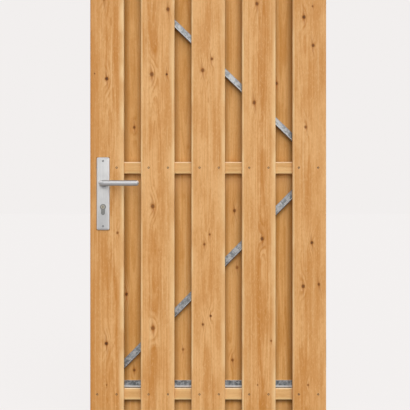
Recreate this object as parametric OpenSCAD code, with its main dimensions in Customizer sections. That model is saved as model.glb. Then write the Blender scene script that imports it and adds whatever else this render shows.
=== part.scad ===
// Board-on-board garden gate: boards on both faces of three laths, an angle-steel frame with two braces
// between them, a lever lock with long plates, and lift-off hinges that screw to a post.
//
// Every module draws in the leaf's own frame: X runs from the lock edge to the hinge edge, Y from the
// front face of the front boards to the back, and Z up from the foot of the boards. at_mount() then
// carries it to the part's origin, the centre of the lower hinge bracket's mounting face.

/* [Boards] */
// Width of the leaf over its front boards
leaf_w = 980; // [900:10:1100]
// Length of the boards
leaf_h = 2040; // [1800:20:2200]
// Number of front boards, with one back board behind each gap
front_count = 5; // [4:1:6]
// Width of each board
board_w = 140; // [120:5:150]
// Thickness of each board
board_t = 18; // [16:1:22]
// Radius of the boards' long edges
board_r = 6; // [2:1:7]

/* [Laths] */
// Height of each lath
lath_h = 50; // [40:2:60]
// Depth of each lath, which is also the space between the boards
lath_t = 28; // [26:1:40]
// Radius of the laths' long edges
lath_r = 5; // [2:1:8]
// Distance of the top and bottom laths from the boards' ends
lath_end = 64; // [30:2:80]
// Space between the lock case and the middle lath above it
lath_over_case = 8; // [0:1:60]

/* [Steel frame] */
// Width of both legs of the frame's angle bars
frame_leg = 25; // [20:1:26]
// Width of both legs of the braces' angle bars
brace_leg = 27; // [20:1:28]
// Thickness of the angle bars
angle_t = 3; // [2:0.5:4]
// Distance of the lock stile from the leaf's lock edge, which hides the latch bolt
lock_edge_in = 16; // [14:1:20]
// Distance of the hinge stile from the leaf's hinge edge
hinge_edge_in = 2; // [0:1:6]
// Where the upper brace meets the top rail, from the lock stile's inner edge
brace_top_in = 40; // [22:1:90]
// Where the lower brace meets the bottom rail, from the lock stile's inner edge
brace_bottom_in = 25; // [22:1:90]
// Where the lower brace meets the middle lath, from the hinge stile's inner edge
brace_apex_in = 26; // [18:1:60]

/* [Lock] */
// Distance from the faceplate to the spindle
backset = 42; // [38:1:50]
// Height of the spindle above the foot of the boards
spindle_z = 967; // [850:1:1050]
// Distance from the spindle down to the cylinder
lock_centres = 97; // [90:1:110]
// Thickness of the lock case's walls
case_wall = 3; // [2:0.5:4]
// Reach of the lock case past the spindle
case_beyond = 42; // [30:1:60]
// Height of the lock case above the spindle
case_above = 33; // [26:1:50]
// Depth of the lock case below the cylinder's centre
case_below = 85; // [50:1:110]
// Width of the faceplate on the lock stile
faceplate_w = 22; // [20:1:24]
// Radius of the faceplate's corners
faceplate_r = 8; // [2:1:9]
// Thickness of the faceplate
faceplate_t = 3; // [2:0.5:4]
// Reach of the faceplate past each end of the lock case
faceplate_over = 10; // [6:1:30]
// Thickness of the latch bolt and the dead bolt
bolt_t = 12; // [8:1:14]
// Height of the latch bolt
latch_h = 34; // [24:1:40]
// How far the latch bolt stands out of the faceplate
latch_throw = 11; // [8:1:14]
// Thickness left at the tip of the latch bolt's sloping nose
latch_tip = 2; // [1:0.5:4]
// Height of the dead bolt
dead_h = 28; // [20:1:34]
// Distance from the spindle down to the dead bolt's centre
dead_below = 56; // [46:1:60]
// Play around both bolts in the faceplate and the stile
bolt_play = 0.3; // [0.2:0.1:0.8]
// Space between the latch bolt's tail and the spindle's hole
tail_gap = 2; // [1:1:6]

/* [Plates] */
// Width of the long plates
plate_w = 52; // [44:1:56]
// Height of the long plates
plate_h = 300; // [260:5:320]
// Height of the plates above the spindle
plate_above = 108; // [60:1:120]
// Thickness of the plates
plate_t = 8; // [6:1:10]
// Radius of the plates' corners
plate_r = 7; // [2:1:10]
// Width of the bevel around the plates
bevel_w = 5.6; // [2:0.2:8]
// Depth of the bevel around the plates
bevel_d = 3; // [1:0.5:4]
// Diameter of the collar around each lever's neck
collar_d = 31; // [26:1:34]
// How far the collar stands out of the plate
collar_t = 6; // [3:1:10]

/* [Levers] */
// Diameter of the levers
lever_d = 23; // [18:0.5:23.5]
// Reach of the levers from the spindle
lever_len = 154; // [120:2:170]
// Distance from the plate's face to the lever's centre line
lever_out = 47; // [40:1:60]
// Radius of the bend between neck and grip
lever_bend = 14; // [12:1:22]
// Depth of the dome at the levers' tips
tip_dome = 7; // [3:1:9]
// Depth of the neck's seat inside the plate
neck_seat = 6; // [3:1:6]
// Radial play of the neck in its collar
neck_play = 0.06; // [0.02:0.01:0.1]
// Width of the square spindle
spindle_w = 8; // [7:1:9]
// Length of the spindle inside each lever
spindle_grip = 24; // [15:1:30]
// Play around the spindle in each lever
spindle_play = 0.1; // [0.05:0.05:0.3]
// Diameter of the holes that the spindle passes through
spindle_hole_d = 18; // [14:1:20]

/* [Cylinder] */
// Diameter of the cylinder's round part
cylinder_d = 24; // [17:1:26]
// Width of the cylinder's web
web_w = 16; // [10:1:16]
// Height of the cylinder's profile
cylinder_h = 45; // [33:1:48]
// How far the cylinder stands out of each plate
cylinder_proud = 2; // [1:0.5:4]
// Play around the cylinder in the plates and the case
cylinder_play = 0.3; // [0.2:0.1:0.8]
// Extra play around the cylinder in the board
board_cut_play = 2; // [0.5:0.5:4]
// Diameter of the plug that the key turns
plug_d = 15; // [11:1:15]
// Depth of the plug's disc
plug_depth = 4; // [2:1:6]
// Play around the plug
plug_play = 0.1; // [0.05:0.05:0.3]
// Width of the keyhole
key_w = 2.8; // [1.5:0.1:3]
// Height of the keyhole
key_h = 9.5; // [7:0.5:10]

/* [Hinges] */
// Distance of each hinge's centre from the nearer end of the boards
hinge_end = 250; // [200:10:400]
// Diameter of the hinge pins
pin_d = 12; // [10:1:14]
// Radial play of the pins in their eyes
pin_play = 0.06; // [0.02:0.01:0.1]
// Distance of the pins' axis from the leaf's hinge edge
pin_in = 15; // [13:1:20]
// Diameter of the eyes' barrels
barrel_d = 22; // [20:1:24]
// Height of the eyes' barrels
barrel_h = 60; // [40:5:60]
// Thickness of the straps that weld the eyes to the stile
strap_t = 5; // [5:1:8]
// Diameter of the boss around each pin's foot
boss_d = 20; // [18:1:20]
// Height of the arm and boss under each eye
arm_h = 14; // [10:1:14]
// Space between each eye and the boss under it
lift_gap = 0.3; // [0.2:0.1:1]
// How far the pin stands out of its eye
pin_proud = 4; // [2:1:8]
// Space between the leaf's hinge edge and the post
post_gap = 10; // [8:1:16]
// Space between the frame's back face and the bracket plates
bracket_behind = 6; // [5:1:8]
// Width of the bracket plates
bracket_w = 70; // [64:1:90]
// Height of the bracket plates
bracket_h = 120; // [114:2:160]
// Thickness of the bracket plates
bracket_t = 5; // [4:0.5:7]
// Diameter of the screw holes in the bracket plates
screw_hole_d = 9; // [7:0.5:10]
// Distance between the screw holes across each bracket
screw_pitch_y = 40; // [36:1:44]
// Distance between the screw holes up each bracket
screw_pitch_z = 90; // [88:1:98]

/* [Hidden] */
$fn = 64;
cut = 1; // how far a cutting tool passes each face that it opens

pitch = (leaf_w - board_w) / (front_count - 1);
back_y = board_t + lath_t; // back face of the laths and the frame
lock_y = board_t + lath_t / 2; // middle plane of the lock

frame_x0 = lock_edge_in;
frame_x1 = leaf_w - hinge_edge_in;
frame_z0 = lath_end + lath_h;
frame_z1 = leaf_h - lath_end - lath_h;
inner_x0 = frame_x0 + frame_leg;
inner_x1 = frame_x1 - frame_leg;
inner_z0 = frame_z0 + frame_leg;
inner_z1 = frame_z1 - frame_leg;

faceplate_x0 = frame_x0 - faceplate_t;
spindle_x = faceplate_x0 + backset;
case_x0 = frame_x0 + angle_t;
case_x1 = spindle_x + case_beyond;
cylinder_z = spindle_z - lock_centres;
case_z0 = cylinder_z - case_below;
case_z1 = spindle_z + case_above;
mid_z0 = case_z1 + lath_over_case;
mid_z1 = mid_z0 + lath_h;
bolt_x1 = spindle_x - spindle_hole_d / 2 - tail_gap; // inner end of both bolts
web_drop = cylinder_h - cylinder_d / 2 - web_w / 2; // from the cylinder's centre to its foot's centre
through_y = plate_t + cylinder_proud; // reach of the cylinder in front of and behind the leaf

pin_x = leaf_w - pin_in;
pin_y = back_y + strap_t + barrel_d / 2;
eye_rise = (arm_h + lift_gap + barrel_h) / 2; // half the height of a whole hinge
bracket_x1 = leaf_w + post_gap;
bracket_y = back_y + bracket_behind + bracket_w / 2;
hinge_zs = [hinge_end, leaf_h - hinge_end];

FRONT_BOARDS = [for (i = [1 : front_count]) str("front_board_", i)];
BACK_BOARDS = [for (i = [1 : front_count - 1]) str("back_board_", i)];

// From the leaf's frame to the part's origin.
module at_mount() {
    translate([-bracket_x1, -bracket_y, -hinge_zs[0]]) children();
}

// A flat shape drawn in X and Z, made solid from y0 to y1.
module along_y(y0, y1) {
    translate([0, y1, 0]) rotate([90, 0, 0]) linear_extrude(y1 - y0) children();
}

// A flat shape drawn in Y and Z, made solid from x0 to x1.
module along_x(x0, x1) {
    translate([x0, 0, 0]) rotate([90, 0, 90]) linear_extrude(x1 - x0) children();
}

// A place on the leaf's front at the spindle, with +Z pointing out of the face and +Y up.
module on_front() {
    translate([spindle_x, 0, spindle_z]) rotate([90, 0, 0]) children();
}

// The same on the leaf's back.
module on_back() {
    translate([spindle_x, back_y, spindle_z]) mirror([0, 1, 0]) rotate([90, 0, 0]) children();
}

// A rectangle with rounded corners, from the origin to [w, h].
module rounded_rect(w, h, r) {
    translate([r, 0]) square([w - 2 * r, h]);
    translate([0, r]) square([w, h - 2 * r]);
    for (x = [r, w - r], y = [r, h - r]) translate([x, y]) circle(r);
}

module board(x, y) {
    translate([x, y, 0]) linear_extrude(leaf_h) rounded_rect(board_w, board_t, board_r);
}

// The first board also takes the lock's holes.
module front_board(i) {
    color("burlywood") at_mount() difference() {
        board((i - 1) * pitch, 0);
        if (i == 1) {
            along_y(-cut, board_t + cut) spindle_hole();
            along_y(-cut, board_t + cut) cylinder_profile(board_cut_play);
        }
    }
}

module back_board(i) {
    color("peru") at_mount() board((i - 0.5) * pitch, back_y);
}

module lath(x0, x1, z) {
    color("burlywood") at_mount() along_x(x0, x1) translate([board_t, z])
        rounded_rect(lath_t, lath_h, lath_r);
}

module lath_bottom() {
    lath(frame_x0, frame_x1, lath_end);
}

module lath_middle() {
    lath(inner_x0, inner_x1, mid_z0);
}

module lath_top() {
    lath(frame_x0, frame_x1, frame_z1);
}

// One leg of a frame bar seen from the front: it lies along X and is mitred at both ends.
module mitred_leg(len, wide) {
    polygon([[0, 0], [len, 0], [len - wide, wide], [wide, wide]]);
}

// A frame bar along X: its outer leg faces -Z and its back leg lies in the frame's back face.
module frame_bar(len) {
    along_y(back_y - frame_leg, back_y) mitred_leg(len, angle_t);
    along_y(back_y - angle_t, back_y) mitred_leg(len, frame_leg);
}

module frame_rail_bottom() {
    color("silver") at_mount() translate([frame_x0, 0, frame_z0]) frame_bar(frame_x1 - frame_x0);
}

module frame_rail_top() {
    color("silver") at_mount() translate([frame_x1, 0, frame_z1]) rotate([0, 180, 0])
        frame_bar(frame_x1 - frame_x0);
}

module frame_stile_hinge() {
    color("silver") at_mount() translate([frame_x1, 0, frame_z0]) rotate([0, -90, 0])
        frame_bar(frame_z1 - frame_z0);
}

// The lock stile's back leg is cut away over the lock case, and its outer leg lets both bolts through.
module frame_stile_lock() {
    color("silver") at_mount() difference() {
        translate([frame_x0, 0, frame_z1]) rotate([0, 90, 0]) frame_bar(frame_z1 - frame_z0);
        translate([case_x0, board_t, case_z0]) cube([case_x1 - case_x0, lath_t + cut, case_z1 - case_z0]);
        along_x(frame_x0 - cut, case_x0 + cut) bolt_slots();
    }
}

// An angle bar whose centre line runs from a to b in X and Z, kept between the heights z0 and z1.
// Its back leg lies in the frame's back face, and its other leg stands forward from its lower edge.
module brace(a, b, z0, z1) {
    run = b - a;
    color("silver") at_mount() intersection() {
        translate([a.x, 0, a.y]) rotate([0, -atan2(run.y, run.x), 0])
            translate([-brace_leg, 0, -brace_leg / 2]) {
                translate([0, back_y - angle_t, 0]) cube([norm(run) + 2 * brace_leg, angle_t, brace_leg]);
                translate([0, back_y - brace_leg, 0]) cube([norm(run) + 2 * brace_leg, brace_leg, angle_t]);
            }
        translate([inner_x0, board_t, z0]) cube([inner_x1 - inner_x0, lath_t, z1 - z0]);
    }
}

module brace_lower() {
    brace([inner_x0 + brace_bottom_in, inner_z0], [inner_x1 - brace_apex_in, mid_z0], inner_z0, mid_z0);
}

module brace_upper() {
    brace([inner_x0 + brace_top_in, inner_z1], [inner_x1, mid_z1], mid_z1, inner_z1);
}

// The round hole for the spindle, drawn in the leaf's X and Z.
module spindle_hole() {
    translate([spindle_x, spindle_z]) circle(d = spindle_hole_d);
}

// The lock cylinder's outline, drawn in the leaf's X and Z with the given play around it.
module cylinder_profile(play) {
    translate([spindle_x, cylinder_z]) {
        circle(d = cylinder_d + 2 * play);
        translate([0, -web_drop]) circle(d = web_w + 2 * play);
        translate([-web_w / 2 - play, -web_drop]) square([web_w + 2 * play, web_drop]);
    }
}

// Both bolts' outlines, drawn in Y and Z, with play around them.
module bolt_slots() {
    for (b = [[spindle_z, latch_h], [spindle_z - dead_below, dead_h]])
        translate([lock_y - bolt_t / 2 - bolt_play, b[0] - b[1] / 2 - bolt_play])
            square([bolt_t + 2 * bolt_play, b[1] + 2 * bolt_play]);
}

// A box of sheet steel, open towards the lock stile, which closes it.
module lock_case() {
    color("gray") at_mount() difference() {
        translate([case_x0, board_t, case_z0]) cube([case_x1 - case_x0, lath_t, case_z1 - case_z0]);
        translate([case_x0 - cut, board_t + case_wall, case_z0 + case_wall])
            cube([case_x1 - case_x0 - case_wall + cut, lath_t - 2 * case_wall,
                  case_z1 - case_z0 - 2 * case_wall]);
        along_y(board_t - cut, back_y + cut) spindle_hole();
        along_y(board_t - cut, back_y + cut) cylinder_profile(cylinder_play);
    }
}

module lock_faceplate() {
    color("lightgray") at_mount() along_x(faceplate_x0, frame_x0) difference() {
        translate([lock_y - faceplate_w / 2, case_z0 - faceplate_over])
            rounded_rect(faceplate_w, case_z1 - case_z0 + 2 * faceplate_over, faceplate_r);
        bolt_slots();
    }
}

// The latch bolt's nose slopes on the side that meets the strike when the gate closes.
module latch_bolt() {
    tip_x = faceplate_x0 - latch_throw;
    color("lightgray") at_mount() translate([0, lock_y - bolt_t / 2, spindle_z - latch_h / 2])
        linear_extrude(latch_h) polygon([[bolt_x1, 0], [bolt_x1, bolt_t], [tip_x, bolt_t],
                                         [tip_x, bolt_t - latch_tip], [faceplate_x0, 0]]);
}

module dead_bolt() {
    color("lightgray") at_mount()
        translate([faceplate_x0, lock_y - bolt_t / 2, spindle_z - dead_below - dead_h / 2])
            cube([bolt_x1 - faceplate_x0, bolt_t, dead_h]);
}

module cylinder_body() {
    color("silver") at_mount() difference() {
        along_y(-through_y, back_y + through_y) cylinder_profile(0);
        along_y(-through_y - cut, plug_depth - through_y) plug_hole();
        along_y(back_y + through_y - plug_depth, back_y + through_y + cut) plug_hole();
    }
}

module plug_hole() {
    translate([spindle_x, cylinder_z]) circle(d = plug_d + 2 * plug_play);
}

module plug(y0, y1) {
    color("tan") at_mount() along_y(y0, y1) translate([spindle_x, cylinder_z]) difference() {
        circle(d = plug_d);
        square([key_w, key_h], center = true);
    }
}

module cylinder_plug_front() {
    plug(-through_y, plug_depth - through_y);
}

module cylinder_plug_back() {
    plug(back_y + through_y - plug_depth, back_y + through_y);
}

// The section of a plate of width w with both edges bevelled.
module bevelled(w) {
    polygon([[-w / 2, 0], [w / 2, 0], [w / 2, plate_t - bevel_d], [w / 2 - bevel_w, plate_t],
             [bevel_w - w / 2, plate_t], [-w / 2, plate_t - bevel_d]]);
}

// A long plate with its spindle collar, drawn in the place given by on_front() or on_back().
module long_plate() {
    low = plate_above - plate_h;
    mid = plate_above - plate_h / 2;
    difference() {
        union() {
            intersection() {
                translate([-plate_w / 2, low, 0]) linear_extrude(plate_t)
                    rounded_rect(plate_w, plate_h, plate_r);
                translate([0, plate_above, 0]) rotate([90, 0, 0]) linear_extrude(plate_h)
                    bevelled(plate_w);
                translate([-plate_w / 2, mid, 0]) rotate([90, 0, 90]) linear_extrude(plate_w)
                    bevelled(plate_h);
            }
            cylinder(d = collar_d, h = plate_t + collar_t);
        }
        translate([0, 0, -cut]) cylinder(d = lever_d + 2 * neck_play, h = plate_t + collar_t + 2 * cut);
        translate([-spindle_x, -spindle_z, -cut]) linear_extrude(plate_t + 2 * cut)
            cylinder_profile(cylinder_play);
    }
}

module plate_front() {
    color("lightgray") at_mount() on_front() long_plate();
}

module plate_back() {
    color("lightgray") at_mount() on_back() long_plate();
}

// A bent round lever with a domed tip and a square socket in its neck.
module lever() {
    socket_w = spindle_w + 2 * spindle_play;
    neck_z0 = plate_t - neck_seat;
    grip_z = plate_t + lever_out;
    bend_z = grip_z - lever_bend;
    dome_r = (pow(lever_d / 2, 2) + pow(tip_dome, 2)) / (2 * tip_dome);
    difference() {
        union() {
            translate([0, 0, neck_z0]) cylinder(d = lever_d, h = bend_z - neck_z0);
            translate([lever_bend, 0, bend_z]) rotate([90, 0, 0]) rotate([0, 0, 90])
                rotate_extrude(angle = 90) translate([lever_bend, 0]) circle(d = lever_d);
            intersection() {
                translate([lever_bend, 0, grip_z]) rotate([0, 90, 0])
                    cylinder(d = lever_d, h = lever_len - lever_bend);
                union() {
                    translate([lever_len - dome_r, 0, grip_z]) sphere(dome_r);
                    translate([0, -lever_d, grip_z - lever_d])
                        cube([lever_len - dome_r, 2 * lever_d, 2 * lever_d]);
                }
            }
        }
        translate([-socket_w / 2, -socket_w / 2, neck_z0 - cut])
            cube([socket_w, socket_w, spindle_grip + spindle_play + cut]);
    }
}

module lever_front() {
    color("lightgray") at_mount() on_front() lever();
}

module lever_back() {
    color("lightgray") at_mount() on_back() lever();
}

module spindle() {
    y0 = neck_seat - plate_t - spindle_grip;
    color("dimgray") at_mount() translate([spindle_x - spindle_w / 2, y0, spindle_z - spindle_w / 2])
        cube([spindle_w, back_y - 2 * y0, spindle_w]);
}

// An eye for the hinge centred at height z: a barrel, and a strap welded to the hinge stile.
module hinge_eye(z) {
    eye_z = z - eye_rise + arm_h + lift_gap;
    color("silver") at_mount() difference() {
        union() {
            translate([pin_x, pin_y, eye_z]) cylinder(d = barrel_d, h = barrel_h);
            translate([inner_x1, back_y, eye_z]) cube([frame_leg, strap_t, barrel_h]);
            translate([pin_x - barrel_d / 2, back_y, eye_z]) cube([barrel_d / 2, pin_y - back_y, barrel_h]);
        }
        translate([pin_x, pin_y, eye_z - cut]) cylinder(d = pin_d + 2 * pin_play, h = barrel_h + 2 * cut);
    }
}

module hinge_eye_bottom() {
    hinge_eye(hinge_zs[0]);
}

module hinge_eye_top() {
    hinge_eye(hinge_zs[1]);
}

// A bracket for the hinge centred at height z: a plate with four holes, an arm, and the pin.
module hinge_bracket(z) {
    plate_x = bracket_x1 - bracket_t;
    color("silver") at_mount() translate([0, 0, z]) difference() {
        union() {
            translate([plate_x, bracket_y - bracket_w / 2, -bracket_h / 2])
                cube([bracket_t, bracket_w, bracket_h]);
            translate([pin_x, pin_y - boss_d / 2, -eye_rise]) cube([plate_x - pin_x, boss_d, arm_h]);
            translate([pin_x, pin_y, -eye_rise]) cylinder(d = boss_d, h = arm_h);
            translate([pin_x, pin_y, -eye_rise]) cylinder(d = pin_d, h = 2 * eye_rise + pin_proud);
        }
        for (y = [-0.5, 0.5] * screw_pitch_y, h = [-0.5, 0.5] * screw_pitch_z)
            translate([plate_x - cut, bracket_y + y, h]) rotate([0, 90, 0])
                cylinder(d = screw_hole_d, h = bracket_t + 2 * cut);
    }
}

module hinge_bracket_bottom() {
    hinge_bracket(hinge_zs[0]);
}

module hinge_bracket_top() {
    hinge_bracket(hinge_zs[1]);
}

for (i = [1 : front_count]) front_board(i);
for (i = [1 : front_count - 1]) back_board(i);
lath_bottom();
lath_middle();
lath_top();
frame_rail_bottom();
frame_rail_top();
frame_stile_lock();
frame_stile_hinge();
brace_lower();
brace_upper();
lock_case();
lock_faceplate();
latch_bolt();
dead_bolt();
cylinder_body();
cylinder_plug_front();
cylinder_plug_back();
plate_front();
plate_back();
lever_front();
lever_back();
spindle();
hinge_eye_bottom();
hinge_eye_top();
hinge_bracket_bottom();
hinge_bracket_top();
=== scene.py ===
"""Looks of a board-on-board garden gate: timber, galvanised steel, lock furniture, fixings and studio."""
import math

import bpy
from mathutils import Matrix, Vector


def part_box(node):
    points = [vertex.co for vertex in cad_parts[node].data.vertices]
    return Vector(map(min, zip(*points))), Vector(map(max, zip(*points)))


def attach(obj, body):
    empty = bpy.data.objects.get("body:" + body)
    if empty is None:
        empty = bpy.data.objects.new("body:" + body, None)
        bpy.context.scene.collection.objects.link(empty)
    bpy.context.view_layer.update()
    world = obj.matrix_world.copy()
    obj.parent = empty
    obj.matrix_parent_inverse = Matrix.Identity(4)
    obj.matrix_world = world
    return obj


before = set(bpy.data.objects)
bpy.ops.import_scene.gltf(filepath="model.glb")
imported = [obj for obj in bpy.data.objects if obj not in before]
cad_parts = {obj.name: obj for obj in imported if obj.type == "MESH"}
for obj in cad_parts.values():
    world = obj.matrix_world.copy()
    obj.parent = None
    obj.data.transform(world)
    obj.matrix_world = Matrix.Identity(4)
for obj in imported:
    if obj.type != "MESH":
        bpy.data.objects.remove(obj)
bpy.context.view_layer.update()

FRONT_BOARDS = sorted(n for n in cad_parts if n.startswith("front_board_"))
BACK_BOARDS = sorted(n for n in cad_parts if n.startswith("back_board_"))
LATHS = ["lath_bottom", "lath_middle", "lath_top"]

# The leaf's own corner: its lock edge, front face and foot. The camera and the floor are placed from it.
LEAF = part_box(FRONT_BOARDS[0])[0]
FRONT_Y = LEAF.y
BACK_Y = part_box(BACK_BOARDS[0])[1].y
PLATE_FOOT = 0.05  # height of a long plate's foot, which the lever's collar doesn't reach


def middle(node):
    """The middle of a node's box."""
    low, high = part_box(node)
    return (low + high) / 2


def plate_face(plate):
    """Where a long plate's outer face lies in y, read from its foot."""
    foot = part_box(plate)[0].z + PLATE_FOOT
    inside = middle("lock_case").y
    ys = [vertex.co.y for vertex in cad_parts[plate].data.vertices if vertex.co.z < foot]
    return max(ys, key=lambda y: abs(y - inside))


def long_side(bar):
    """The direction across a slanting bar in its own plane, and its edges' places along it."""
    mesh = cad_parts[bar].data
    sides = [face for face in mesh.polygons if abs(face.normal.y) < 0.1]
    normal = max(sides, key=lambda face: face.area).normal.copy()
    if normal.z < 0:
        normal.negate()
    places = [normal.dot(vertex.co) for vertex in mesh.vertices]
    return normal, min(places), max(places)


def new_object(name, data):
    """Adds an object to the scene."""
    made = bpy.data.objects.new(name, data)
    bpy.context.scene.collection.objects.link(made)
    return made


# ---------------------------------------------------------------- camera

VIEW_WIDTH = 1.700  # width of the view at the leaf's front face
VIEW_DISTANCE = 2.500  # from the camera to that face
VIEW_X = 0.4767  # where the camera stands, from the leaf's lock edge
VIEW_Z = 0.878  # and above the leaf's foot
SENSOR = 36.0  # width of the camera's sensor, in millimetres


def add_camera():
    data = bpy.data.cameras.new("camera")
    data.sensor_width = SENSOR
    data.lens = SENSOR * VIEW_DISTANCE / VIEW_WIDTH
    camera = new_object("camera", data)
    camera.location = LEAF + Vector((VIEW_X, -VIEW_DISTANCE, VIEW_Z))
    camera.rotation_euler = (math.radians(90), 0, 0)
    bpy.context.scene.camera = camera


# ---------------------------------------------------------------- node maths


def rgb(code):
    """A colour written as six hex digits, as linear red, green, blue and alpha."""
    parts = [int(code[i:i + 2], 16) / 255 for i in (0, 2, 4)]
    return tuple(c / 12.92 if c <= 0.04045 else ((c + 0.055) / 1.055) ** 2.4 for c in parts) + (1.0,)


class Field:
    """A number, colour, vector or geometry that one output socket of a node gives."""

    def __init__(self, graph, socket):
        self.graph = graph
        self.socket = socket

    def math(self, operation, *others):
        return self.graph.node("ShaderNodeMath", {"operation": operation}, (self, *others))

    def __add__(self, other):
        return self.math("ADD", other)

    __radd__ = __add__

    def __sub__(self, other):
        return self.math("SUBTRACT", other)

    def __rsub__(self, other):
        return self.graph.node("ShaderNodeMath", {"operation": "SUBTRACT"}, (other, self))

    def __mul__(self, other):
        return self.math("MULTIPLY", other)

    __rmul__ = __mul__

    def __truediv__(self, other):
        return self.math("DIVIDE", other)

    def __neg__(self):
        return self.math("MULTIPLY", -1.0)

    def out(self, key):
        """Another output of the node that gives this field."""
        return Field(self.graph, self.socket.node.outputs[key])


class Graph:
    """A node tree that is written as expressions."""

    def __init__(self, tree):
        self.tree = tree

    def fill(self, socket, value):
        """Sets a socket to a value, or links a field to it, or each field of a list."""
        if isinstance(value, list):
            for field in value:
                self.fill(socket, field)
        elif isinstance(value, Field):
            self.tree.links.new(value.socket, socket)
        else:
            socket.default_value = value

    def node(self, kind, settings=None, inputs=(), out=0):
        """Adds a node, makes its settings, then fills its sockets from a tuple or a dict."""
        made = self.tree.nodes.new(kind)
        for key, value in (settings or {}).items():
            setattr(made, key, value)
        pairs = inputs.items() if isinstance(inputs, dict) else enumerate(inputs)
        for key, value in pairs:
            self.fill(made.inputs[key], value)
        return Field(self, made.outputs[out]) if made.outputs else None

    def vector(self, x, y, z):
        return self.node("ShaderNodeCombineXYZ", None, (x, y, z))

    def axes(self, vector):
        """A vector's x, y and z."""
        split = self.node("ShaderNodeSeparateXYZ", None, (vector,))
        return split, split.out(1), split.out(2)

    def on_vectors(self, operation, *values, out="Vector"):
        return self.node("ShaderNodeVectorMath", {"operation": operation}, values, out)


# ---------------------------------------------------------------- materials


def emptied(owner):
    """The node tree of a material or a world, with nothing in it."""
    owner.use_nodes = True
    owner.node_tree.nodes.clear()
    return owner.node_tree


class Finish(Graph):
    """A material that ends in one Principled shader, with a colour that is laid on in turns."""

    def __init__(self, name, **settings):
        self.material = bpy.data.materials.new(name)
        super().__init__(emptied(self.material))
        surface = self.node("ShaderNodeBsdfPrincipled")
        self.shader = surface.socket.node
        self.node("ShaderNodeOutputMaterial", None, {"Surface": surface})
        self.place = self.node("ShaderNodeTexCoord", out="Object")
        self.colour = None
        self.feed(**settings)

    def feed(self, **sockets):
        """Sets or links the shader's own sockets, such as base_color or roughness."""
        for key, value in sockets.items():
            name = key.replace("_", " ").title().replace("Ior", "IOR")
            self.fill(self.shader.inputs[name], value)

    def done(self, **sockets):
        """Feeds the colour and the last sockets, and gives the material."""
        self.feed(base_color=self.colour, **sockets)
        return self.material

    def mix(self, amount, first, second):
        settings = {"data_type": "RGBA", "clamp_factor": True}
        return self.node("ShaderNodeMix", settings, {"Factor": amount, 6: first, 7: second}, out=2)

    def tint(self, amount, colour):
        """Turns the colour that is laid so far towards another one."""
        self.colour = self.mix(amount, self.colour, colour)

    def facing(self):
        """The way the piece's own surface faces, as x, y and z, which stays the same as the piece moves."""
        return self.axes(self.node("ShaderNodeTexCoord", out="Normal"))

    def stretch(self, vector, x, y, z):
        return self.on_vectors("MULTIPLY", vector, (x, y, z))

    def length(self, vector):
        return self.on_vectors("LENGTH", vector, out="Value")

    def reach(self, direction):
        """How far a place lies along a fixed direction."""
        return self.on_vectors("DOT_PRODUCT", self.place, tuple(direction), out="Value")

    def noise(self, vector, scale=1.0, detail=2.0, rough=0.5, twist=0.0):
        return self.node("ShaderNodeTexNoise", {"noise_dimensions": "3D"},
                         {"Vector": vector, "Scale": scale, "Detail": detail, "Roughness": rough,
                          "Distortion": twist})

    def wander(self, along, seed, detail=1.0):
        """A smooth value about 0 that changes with one coordinate."""
        sockets = {"W": along + seed, "Scale": 1.0, "Detail": detail}
        return self.node("ShaderNodeTexNoise", {"noise_dimensions": "1D"}, sockets) - 0.5

    def step(self, value, start, end):
        """0 on start's side and 1 on end's, with a smooth change between. Either may be the larger."""
        sockets = {"Value": value, "From Min": start, "From Max": end, "To Min": 0.0, "To Max": 1.0}
        return self.node("ShaderNodeMapRange", {"interpolation_type": "SMOOTHSTEP"}, sockets)

    def band(self, value, start, full, fading, end):
        """0 up to start, 1 from full to where it is fading, and 0 from end on."""
        return self.step(value, start, full) * self.step(value, end, fading)

    def bell(self, value, width):
        """1 where the value is 0, falling to nothing a few widths away on either side."""
        return (-(value * value) / (width * width)).math("EXPONENT")

    def relief(self, height, strength, distance):
        return self.node("ShaderNodeBump", None,
                         {"Strength": strength, "Distance": distance, "Height": height})


# ---------------------------------------------------------------- timber

PALE = rgb("E6B073")
HONEY = rgb("D69B5B")
AMBER = rgb("BE7828")
SAPWOOD = rgb("F3CE98")
# the next colour is a painted highlight along a lath's upper edge
LATH_EDGE_HIGHLIGHT = rgb("FBE6C4")
LATH_GOLD = rgb("E9CF94")
OCHRE = rgb("C4943A")
PAINTED_SHADE = rgb("8E5D12")  # painted shade on timber that another piece shades
DEEP_SHADOW = rgb("5A3A12")  # painted deep shadow on timber just under a lath
KNOT = rgb("2E1402")
KNOT_RIM = rgb("A25E18")

# How much darker than usual each board or lath is, how strong its grain, and how much paler its middle.
CHARACTER = {
    "front_board_1": (0.09, 0.88, 0.09), "front_board_2": (-0.01, 0.95, 0.02),
    "front_board_3": (-0.02, 0.75, 0.03), "front_board_4": (0.03, 1.0, 0.14),
    "front_board_5": (0.06, 0.68, 0.10), "back_board_1": (-0.05, 0.85, 0.0),
    "back_board_2": (-0.03, 0.85, 0.0), "back_board_3": (-0.13, 0.85, 0.0),
    "back_board_4": (-0.05, 0.85, 0.0), "lath_bottom": (-0.24, 0.7, 0.0),
    "lath_middle": (0.05, 0.6, 0.0), "lath_top": (-0.10, 0.7, 0.0),
}
BOARD_WANDER = 0.24  # how far the tone of a board wanders along it
LATH_WANDER = 0.07  # and of a lath
MIDDLE_UP = 1.12  # height of the boards' paler middles above their feet
MIDDLE_REACH = 0.36  # and how far they reach up and down

RING = 0.0058  # spacing of the growth rings
FLAME = 3.4  # how many rings lie between broad flames
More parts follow.
